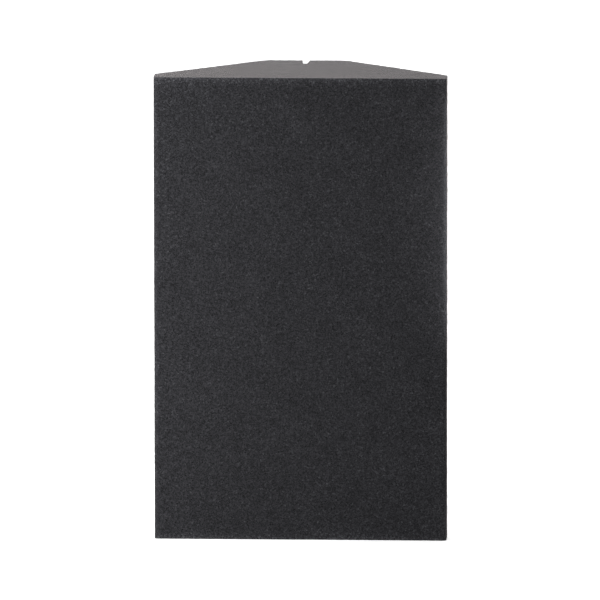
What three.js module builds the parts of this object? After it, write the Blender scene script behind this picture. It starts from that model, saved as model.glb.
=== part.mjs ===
// Corner bass trap: one block of open-cell foam, sawn to a single profile from end to end.
// The flat front faces the room. Two faces at half the corner's angle lie on its walls, and the
// narrow rear face bridges the corner, with a tapered groove up its middle.
// Millimetres. X runs across the front, Y from the front to the rear and Z up. The origin is on
// the base, at the centre of its width and depth.
import * as THREE from 'three';

// Block
const HEIGHT = 600;
const FRONT_WIDTH = 376;
const REAR_WIDTH = 104;
const LAND_DEPTH = 34; // straight side behind each front edge
const ROOM_CORNER_DEGREES = 90; // angle between the two walls

// Corners of the profile
const ARRIS_RADIUS = 5; // front edges, rounded over
const SHOULDER_RADIUS = 6; // land to wall face
const REAR_CORNER_RADIUS = 20; // wall face to rear face

// Relief groove in the rear face
const GROOVE_MOUTH_WIDTH = 9.6;
const GROOVE_ROOT_WIDTH = 5.4;
const GROOVE_DEPTH = 30;
const GROOVE_LIP_RADIUS = 1.5;
const GROOVE_ROOT_RADIUS = 2.5;

const ARC_STEPS = 10; // flats in each rounded corner

const wallFaceSlope = Math.tan(THREE.MathUtils.degToRad(ROOM_CORNER_DEGREES / 2));
const wallFaceDepth = (FRONT_WIDTH - REAR_WIDTH) / 2 / wallFaceSlope;
const depth = LAND_DEPTH + wallFaceDepth;
const front = -depth / 2;
const rear = depth / 2;

// The right half of the profile, from the front edge round to the root of the groove.
function rightHalfCorners() {
  const corner = (x, y, radius) => ({ point: new THREE.Vector2(x, y), radius });
  return [
    corner(FRONT_WIDTH / 2, front, ARRIS_RADIUS),
    corner(FRONT_WIDTH / 2, front + LAND_DEPTH, SHOULDER_RADIUS),
    corner(REAR_WIDTH / 2, rear, REAR_CORNER_RADIUS),
    corner(GROOVE_MOUTH_WIDTH / 2, rear, GROOVE_LIP_RADIUS),
    corner(GROOVE_ROOT_WIDTH / 2, rear - GROOVE_DEPTH, GROOVE_ROOT_RADIUS),
  ];
}

// The same corners on the left, in the order that carries the outline back to the front.
function mirrored(corners) {
  return corners
    .map(({ point, radius }) => ({ point: new THREE.Vector2(-point.x, point.y), radius }))
    .reverse();
}

// Rounds one corner of the outline with an arc tangent to both of its edges. A fillet stops at
// the middle of the shorter edge, so two neighbours never cross.
function addRoundedCorner(shape, before, { point, radius }, after) {
  const towardsBefore = before.point.clone().sub(point);
  const towardsAfter = after.point.clone().sub(point);
  const room = Math.min(towardsBefore.length(), towardsAfter.length()) / 2;
  towardsBefore.normalize();
  towardsAfter.normalize();

  const halfAngle = Math.acos(towardsBefore.dot(towardsAfter)) / 2;
  const tangentLength = Math.min(radius / Math.tan(halfAngle), room);
  const fittedRadius = tangentLength * Math.tan(halfAngle);
  const start = point.clone().addScaledVector(towardsBefore, tangentLength);
  const end = point.clone().addScaledVector(towardsAfter, tangentLength);
  const centre = towardsBefore.clone().add(towardsAfter)
    .setLength(fittedRadius / Math.sin(halfAngle))
    .add(point);

  const startAngle = start.clone().sub(centre).angle();
  const endAngle = end.clone().sub(centre).angle();
  const clockwise = towardsBefore.cross(towardsAfter) > 0;
  shape.absarc(centre.x, centre.y, fittedRadius, startAngle, endAngle, clockwise);
}

function profile() {
  const rightHalf = rightHalfCorners();
  const corners = [...rightHalf, ...mirrored(rightHalf)];
  const shape = new THREE.Shape();
  corners.forEach((corner, i) => {
    const before = corners.at(i - 1);
    const after = corners[(i + 1) % corners.length];
    addRoundedCorner(shape, before, corner, after);
  });
  shape.closePath();
  return shape;
}

const foamBlock = new THREE.Mesh(
  new THREE.ExtrudeGeometry(profile(), {
    depth: HEIGHT,
    bevelEnabled: false,
    curveSegments: ARC_STEPS,
  }),
  new THREE.MeshStandardMaterial({ color: 0x3a3a3c, roughness: 1, metalness: 0 }),
);
foamBlock.name = 'foam_block';

const bassTrap = new THREE.Group();
bassTrap.add(foamBlock);

export default bassTrap;
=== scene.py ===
import math

import bpy
from mathutils import Matrix, Vector
from mathutils.kdtree import KDTree


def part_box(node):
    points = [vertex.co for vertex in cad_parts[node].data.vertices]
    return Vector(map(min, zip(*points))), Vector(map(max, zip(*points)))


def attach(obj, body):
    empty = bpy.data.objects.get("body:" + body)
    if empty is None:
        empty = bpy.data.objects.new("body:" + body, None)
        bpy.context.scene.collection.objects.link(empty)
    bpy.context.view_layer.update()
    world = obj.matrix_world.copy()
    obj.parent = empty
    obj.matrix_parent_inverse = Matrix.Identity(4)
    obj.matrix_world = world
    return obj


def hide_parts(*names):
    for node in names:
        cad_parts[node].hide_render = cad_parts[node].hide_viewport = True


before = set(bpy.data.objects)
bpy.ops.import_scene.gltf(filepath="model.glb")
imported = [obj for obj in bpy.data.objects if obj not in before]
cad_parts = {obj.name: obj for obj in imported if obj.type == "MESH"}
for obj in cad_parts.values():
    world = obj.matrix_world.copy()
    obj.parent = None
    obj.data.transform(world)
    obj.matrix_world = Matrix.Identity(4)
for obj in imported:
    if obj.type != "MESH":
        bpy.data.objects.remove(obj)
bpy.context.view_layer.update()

# Foam block.
# The real piece is one block of soft open-cell polyurethane foam, sawn to a single profile. Its
# flat front faces the room, two faces at 45 degrees are glued to the walls, and a tapered groove
# runs up the narrow rear face. Sizes are in metres.
low, high = (Vector(corner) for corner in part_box("foam_block"))
front, rear = low.y, high.y
half_width = high.x
height = high.z

land_depth = 0.034
half_rear_width = 0.052
groove_depth = 0.030
groove_mouth_width = 0.0096
groove_root_width = 0.0054
front_arris_radius = 0.005
shoulder_radius = 0.006
rear_corner_radius = 0.020
groove_lip_radius = 0.0015
groove_root_radius = 0.0025
arc_steps = 8
wall_face_slant = math.sqrt(0.5)  # sine and cosine of 45 degrees

bpy.ops.object.select_all(action="DESELECT")
bpy.ops.mesh.primitive_plane_add(size=1)
foam = bpy.context.object
foam.name = "foam_wedge"
bpy.ops.transform.resize(value=(2 * half_width, rear - front, 1))
bpy.ops.object.transform_apply(location=True, rotation=True, scale=True)


def select_vertices(piece, wanted):
    """Selects the vertices whose place meets the test. Works in edit mode."""
    bpy.ops.mesh.select_mode(type="VERT")
    bpy.ops.mesh.select_all(action="DESELECT")
    bpy.ops.object.mode_set(mode="OBJECT")
    for vertex in piece.data.vertices:
        vertex.select = wanted(vertex.co)
    bpy.ops.object.mode_set(mode="EDIT")


def near(value, place, reach=0.0002):
    return abs(value - place) < reach


# The wall faces are sawn off first, then the groove is cut into the rear edge.
bpy.ops.object.mode_set(mode="EDIT")
for side in (-1, 1):
    bpy.ops.mesh.select_all(action="SELECT")
    bpy.ops.mesh.bisect(
        plane_co=(side * half_width, front + land_depth, 0),
        plane_no=(side * wall_face_slant, wall_face_slant, 0),
        clear_outer=True,
    )
    bpy.ops.mesh.select_all(action="SELECT")
    bpy.ops.mesh.bisect(
        plane_co=(side * groove_mouth_width / 2, 0, 0),
        plane_no=(side, 0, 0),
    )
groove_root = rear - groove_depth
bpy.ops.mesh.select_all(action="SELECT")
bpy.ops.mesh.bisect(plane_co=(0, groove_root, 0), plane_no=(0, 1, 0))

bpy.ops.mesh.select_mode(type="FACE")
bpy.ops.mesh.select_all(action="DESELECT")
bpy.ops.object.mode_set(mode="OBJECT")
for face in foam.data.polygons:
    face.select = abs(face.center.x) < groove_mouth_width / 2 and face.center.y > groove_root
bpy.ops.object.mode_set(mode="EDIT")
bpy.ops.mesh.delete(type="FACE")
select_vertices(foam, lambda co: near(co.y, groove_root) and abs(co.x) < groove_mouth_width)
bpy.ops.transform.resize(value=(groove_root_width / groove_mouth_width, 1, 1))
straight_within = math.radians(1)
bpy.ops.mesh.select_all(action="SELECT")
bpy.ops.mesh.dissolve_limited(angle_limit=straight_within)


# Each corner of the profile is rounded, as far along its edges as its radius asks.
def round_corners(wanted, radius, corner_degrees):
    select_vertices(foam, wanted)
    tangent = radius / math.tan(math.radians(corner_degrees / 2))
    bpy.ops.mesh.bevel(offset=tangent, segments=arc_steps, affect="VERTICES")


square_degrees = 90
slanted_degrees = 135
groove_lean = math.degrees(math.atan((groove_mouth_width - groove_root_width) / 2 / groove_depth))
groove_degrees = square_degrees + groove_lean
round_corners(lambda co: near(co.y, front), front_arris_radius, square_degrees)
round_corners(lambda co: near(co.y, front + land_depth), shoulder_radius, slanted_degrees)
round_corners(lambda co: near(co.y, rear) and near(abs(co.x), half_rear_width),
              rear_corner_radius, slanted_degrees)
round_corners(lambda co: near(co.y, rear) and near(abs(co.x), groove_mouth_width / 2),
              groove_lip_radius, groove_degrees)
round_corners(lambda co: near(co.y, groove_root), groove_root_radius, groove_degrees)

# The profile is carried up to the block's full height.
bpy.ops.mesh.select_all(action="SELECT")
bpy.ops.mesh.extrude_region_move(TRANSFORM_OT_translate={"value": (0, 0, height)})
bpy.ops.mesh.select_all(action="SELECT")
bpy.ops.mesh.normals_make_consistent(inside=False)
bpy.ops.object.mode_set(mode="OBJECT")

# An even skin of small faces carries the relief of the sawn cells. The remesh grid has
# 2 ** skin_levels steps along the block's height over the scale.
skin_pitch = 0.0029
skin_levels = 8
skin = foam.modifiers.new("even_skin", "REMESH")
skin.mode = "SHARP"
skin.octree_depth = skin_levels
skin.scale = height / (skin_pitch * 2 ** skin_levels)
bpy.ops.object.modifier_apply(modifier=skin.name)

# The saw leaves the arrises of the two ends square. The one along the top of the front is eased a
# little.
sharp_fold = math.radians(60)
top_arris_radius = 0.0022
top_arris_steps = 3
bpy.ops.object.mode_set(mode="EDIT")
bpy.ops.mesh.select_mode(type="EDGE")
bpy.ops.mesh.select_all(action="DESELECT")
bpy.ops.mesh.edges_select_sharp(sharpness=sharp_fold)
bpy.ops.object.mode_set(mode="OBJECT")
vertices = foam.data.vertices
arris_points = [
    vertex.co.copy() for vertex in vertices
    if vertex.select and (abs(vertex.co.x) > groove_mouth_width or near(vertex.co.y, front))
]
for edge in foam.data.edges:
    edge.select = all(
        near(vertices[i].co.z, height) and near(vertices[i].co.y, front) for i in edge.vertices
    )
bpy.ops.object.mode_set(mode="EDIT")
bpy.ops.mesh.bevel(offset=top_arris_radius, segments=top_arris_steps, affect="EDGES")

# A map for baking the finish, laid out while the faces are flat.
island_fold = math.radians(66)
island_gap = 0.003
bpy.ops.mesh.select_all(action="SELECT")
bpy.ops.uv.smart_project(angle_limit=island_fold, island_margin=island_gap)
bpy.ops.object.mode_set(mode="OBJECT")
foam.data.uv_layers.active.name = "OFBake"


def add_relief(name, pitch, relief_depth, detail):
    """Raises and sinks the skin by up to half the given depth."""
    texture = bpy.data.textures.new(name, "CLOUDS")
    texture.noise_scale = pitch
    texture.noise_depth = detail
    relief = foam.modifiers.new(name, "DISPLACE")
    relief.texture = texture
    relief.texture_coords = "LOCAL"
    relief.mid_level = 0.5
    relief.strength = relief_depth
    bpy.ops.object.modifier_apply(modifier=relief.name)


add_relief("saw_wander", pitch=0.09, relief_depth=0.0006, detail=3)
add_relief("cell_relief", pitch=0.0052, relief_depth=0.0008, detail=2)

# The cells that would reach below the base are pressed flat on it.
bpy.ops.object.mode_set(mode="EDIT")
select_vertices(foam, lambda co: co.z < 0)
bpy.ops.transform.resize(value=(1, 1, 0), center_override=(0, 0, 0))
bpy.ops.object.mode_set(mode="OBJECT")
bpy.ops.object.shade_smooth_by_angle(angle=sharp_fold)

# How much painted edge highlight each point of the skin gets: fully on the arrises of the two ends,
# and a third as much round the front edges. It stands in for the light that brightens the foam near
# its edges.
edge_glow_reach = 0.005
front_edge_fade = 3
arris_tree = KDTree(len(arris_points))
for i, point in enumerate(arris_points):
    arris_tree.insert(point, i)
arris_tree.balance()


def edge_glow_at(co):
    from_arris = arris_tree.find(co)[2]
    from_front_edge = math.hypot(half_width - abs(co.x), co.y - front)
    return max(
        math.exp(-from_arris / edge_glow_reach),
        math.exp(-from_front_edge / edge_glow_reach) / front_edge_fade,
    )


painted_edge_glow = foam.data.attributes.new("painted_edge_glow", "FLOAT", "POINT")
painted_edge_glow.data.foreach_set("value", [edge_glow_at(vertex.co) for vertex in vertices])


# Open-cell polyurethane foam, dyed anthracite in the mass and left as the saw cuts it. The eye sees
# small pores, painted dark with the shade inside them, between paler struts, with a soft bloom
# where the light grazes the tips.
def linear(hex_colour):
    """An sRGB hex colour as linear red, green, blue and alpha."""
    parts = [int(hex_colour[i:i + 2], 16) / 255 for i in (1, 3, 5)]
    return [p / 12.92 if p <= 0.04045 else ((p + 0.055) / 1.055) ** 2.4 for p in parts] + [1]


def add_node(tree, kind, inputs=None, **settings):
    """Adds a node. Its inputs are values, or sockets to link from, by name or number."""
    node = tree.nodes.new(kind)
    for key, value in settings.items():
        setattr(node, key, value)
    for key, value in (inputs or {}).items():
        if isinstance(value, bpy.types.NodeSocket):
            tree.links.new(value, node.inputs[key])
        else:
            node.inputs[key].default_value = value
    return node


def open_cell_foam():
    material = bpy.data.materials.new("open_cell_polyurethane_foam")
    material.use_nodes = True
    tree = material.node_tree
    tree.nodes.clear()
    place = add_node(tree, "ShaderNodeTexCoord").outputs["Object"]

    # Cells are about 1 mm across in the real foam. They are drawn at 1.6 mm, the least that shows
    # from where the camera stands.
    cell_pitch = 0.0016
    strut_core = 0.02
    strut_edge = 0.17
    strut_tone = 0.85
    voronoi = {"Vector": place, "Scale": 1 / cell_pitch, "Randomness": 1}
    cells = add_node(tree, "ShaderNodeTexVoronoi", voronoi, feature="F1")
    walls = add_node(tree, "ShaderNodeTexVoronoi", voronoi, feature="DISTANCE_TO_EDGE")
    strut = add_node(
        tree, "ShaderNodeMapRange",
        {"Value": walls.outputs["Distance"], "From Min": strut_core, "From Max": strut_edge,
         "To Min": 1, "To Max": 0},
        interpolation_type="SMOOTHSTEP",
    )
    # Each cell was cut open at its own depth. Its floor is painted with the shade that falls into
    # it, dark in most cells and paler in a few.
    pore_shade_power = 2.2
    cell_tone = add_node(tree, "ShaderNodeSeparateColor", {"Color": cells.outputs["Color"]})
    cell_floor_shade = add_node(
        tree, "ShaderNodeMath", {0: cell_tone.outputs["Red"], 1: pore_shade_power},
        operation="POWER",
    )
    open_cell = add_node(
        tree, "ShaderNodeMix",
        {"Factor": strut.outputs["Result"], "A": cell_floor_shade.outputs["Value"], "B": strut_tone},
        data_type="FLOAT",
    )
    # An uneven grain breaks up the cells, and very faint patches run over many of them.
    grain_pitch = 0.0020
    grain_strength = 0.6
    grain = add_node(
        tree, "ShaderNodeTexNoise",
        {"Vector": place, "Scale": 1 / grain_pitch, "Detail": 3, "Roughness": 0.6},
    )
    patch_pitch = 0.035
    patch_strength = 0.08
    patches = add_node(
        tree, "ShaderNodeTexNoise",
        {"Vector": place, "Scale": 1 / patch_pitch, "Detail": 2, "Roughness": 0.5},
    )
    tone = add_node(
        tree, "ShaderNodeMix",
        {"Factor": grain_strength, "A": open_cell.outputs["Result"], "B": grain.outputs["Fac"]},
        data_type="FLOAT",
    )
    tone = add_node(
        tree, "ShaderNodeMix",
        {"Factor": patch_strength, "A": tone.outputs["Result"], "B": patches.outputs["Fac"]},
        data_type="FLOAT",
    )
    # The struts along the arrises are painted paler, a painted highlight for the light that
    # brightens the foam near its edges.
    edge_glow_strength = 0.15
    painted_edge_glow = add_node(tree, "ShaderNodeAttribute", attribute_name="painted_edge_glow")
    tone = add_node(
        tree, "ShaderNodeMath",
        {0: painted_edge_glow.outputs["Fac"], 1: edge_glow_strength, 2: tone.outputs["Result"]},
        operation="MULTIPLY_ADD",
    )
    shade = add_node(tree, "ShaderNodeValToRGB", {"Fac": tone.outputs["Value"]})
    ramp = shade.color_ramp
    ramp.elements[0].position = 0.15
    ramp.elements[0].color = linear("#0a0a0b")
    ramp.elements[1].position = 0.90
    ramp.elements[1].color = linear("#68686c")
    ramp.elements.new(0.45).color = linear("#28282a")
    ramp.elements.new(0.67).color = linear("#3b3b3e")
    pore_depth = 0.0008
    bump = add_node(
        tree, "ShaderNodeBump",
        {"Strength": 0.5, "Distance": pore_depth, "Height": tone.outputs["Value"]},
    )
    shader = add_node(
        tree, "ShaderNodeBsdfPrincipled",
        {"Base Color": shade.outputs["Color"], "Roughness": 0.95, "IOR": 1.45,
         "Specular IOR Level": 0.05, "Sheen Weight": 0.33, "Sheen Roughness": 0.28,
         "Sheen Tint": linear("#fff6f4"), "Normal": bump.outputs["Normal"]},
    )
    add_node(tree, "ShaderNodeOutputMaterial", {"Surface": shader.outputs["BSDF"]})
    return material


foam.data.materials.clear()
foam.data.materials.append(open_cell_foam())
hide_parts("foam_block")
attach(foam, "root")

# Camera.
# A long lens from well back, a little to the right of the block and above it, with a slight
# roll. It looks just beside the middle of the block.
camera_distance = 16.0
camera_side_degrees = 2.8
camera_rise_degrees = 8.863
camera_roll_degrees = -0.059
lens_mm = 743.6
sensor_mm = 36
aim = Vector((0, 0, height / 2))
aim_left = 0.0043
aim_down = 0.0007

side_turn = math.radians(camera_side_degrees)
rise = math.radians(camera_rise_degrees)
back = Vector((math.sin(side_turn) * math.cos(rise), -math.cos(side_turn) * math.cos(rise),
               math.sin(rise)))
across = Vector((math.cos(side_turn), math.sin(side_turn), 0))
up = back.cross(across)
aim = aim - across * aim_left - up * aim_down
camera_data = bpy.data.cameras.new("camera")
camera_data.sensor_width = sensor_mm
camera_data.lens = lens_mm
camera_data.clip_end = 100
camera = bpy.data.objects.new("camera", camera_data)
bpy.context.collection.objects.link(camera)
camera.matrix_world = (
    Matrix.Translation(aim + back * camera_distance)
    @ back.to_track_quat("Z", "Y").to_matrix().to_4x4()
    @ Matrix.Rotation(math.radians(camera_roll_degrees), 4, "Z")
)
bpy.context.scene.camera = camera

# Floor.
# A sheet of white paper far wider than the frame. A glow that is seen but casts no diffuse light
# takes it to white away from the block, and leaves the block's soft shadow.
floor_width = 60
bpy.ops.object.select_all(action="DESELECT")
bpy.ops.mesh.primitive_plane_add(size=floor_width)
floor = bpy.context.object
floor.name = "floor"


def seen_directly(tree):
    """1 for rays that show a surface as it is, and 0 for rays that carry its light on."""
    ray = add_node(tree, "ShaderNodeLightPath")
    seen = add_node(
        tree, "ShaderNodeMath",
        {0: ray.outputs["Is Camera Ray"], 1: ray.outputs["Is Glossy Ray"]},
    )
    return add_node(
        tree, "ShaderNodeMath",
        {0: seen.outputs["Value"], 1: ray.outputs["Is Transmission Ray"]},
    ).outputs["Value"]


def white_paper():
    material = bpy.data.materials.new("white_paper")
    material.use_nodes = True
    tree = material.node_tree
    tree.nodes.clear()
    paper = add_node(
        tree, "ShaderNodeBsdfPrincipled",
        {"Base Color": linear("#f4f4f4"), "Roughness": 0.9, "Specular IOR Level": 0},
    )
    shadow_reach = 0.25
    white_from = 1.5
    place = add_node(tree, "ShaderNodeTexCoord").outputs["Object"]
    away = add_node(tree, "ShaderNodeVectorMath", {0: place}, operation="LENGTH")
    glow = add_node(
        tree, "ShaderNodeMapRange",
        {"Value": away.outputs["Value"], "From Min": shadow_reach, "From Max": white_from,
         "To Min": 0.5, "To Max": 1.0},
        interpolation_type="SMOOTHSTEP",
    )
    strength = add_node(
        tree, "ShaderNodeMath", {0: glow.outputs["Result"], 1: seen_directly(tree)},
        operation="MULTIPLY",
    )
    light = add_node(
        tree, "ShaderNodeEmission", {"Color": (1, 1, 1, 1), "Strength": strength.outputs["Value"]},
    )
    both = add_node(
        tree, "ShaderNodeAddShader", {0: paper.outputs["BSDF"], 1: light.outputs["Emission"]},
    )
    add_node(tree, "ShaderNodeOutputMaterial", {"Surface": both.outputs["Shader"]})
    return material


floor.data.materials.append(white_paper())

# Light.
# An even pale studio, a broad softbox over and behind the block, two close on its left, one above
# the other, and a small lamp off its right edge.
studio_level = 0.46
world = bpy.data.worlds.new("studio")
bpy.context.scene.world = world
world.use_nodes = True
tree = world.node_tree
tree.nodes.clear()
level = add_node(
    tree, "ShaderNodeMapRange", {"Value": seen_directly(tree), "To Min": studio_level, "To Max": 1},
)
air = add_node(
    tree, "ShaderNodeBackground", {"Color": (1, 1, 1, 1), "Strength": level.outputs["Result"]},
)
add_node(tree, "ShaderNodeOutputWorld", {"Surface": air.outputs["Background"]})


def add_softbox(name, place, aim_at, size, watts):
    data = bpy.data.lights.new(name, "AREA")
    data.shape = "ELLIPSE"
    data.size, data.size_y = size
    data.energy = watts
    lamp = bpy.data.objects.new(name, data)
    lamp.visible_camera = False
    bpy.context.collection.objects.link(lamp)
    turn = (Vector(place) - Vector(aim_at)).to_track_quat("Z", "Y").to_matrix().to_4x4()
    lamp.matrix_world = Matrix.Translation(place) @ turn


add_softbox("overhead_softbox", (0.03, 0.50, 1.00), (0, 0.05, 0.6), (0.7, 0.35), 7.5)
add_softbox("left_upper_softbox", (-0.54, -0.40, 0.85), (0, 0, 0.6), (0.3, 0.5), 3.5)
add_softbox("left_lower_softbox", (-0.54, -0.40, 0.25), (0, 0, 0.2), (0.3, 0.5), 1.95)
add_softbox("right_lamp", (0.213, -0.096, 0.425), (0.188, -0.085, 0.425), (0.01, 0.34), 0.1)

bpy.context.scene.view_settings.view_transform = "Standard"
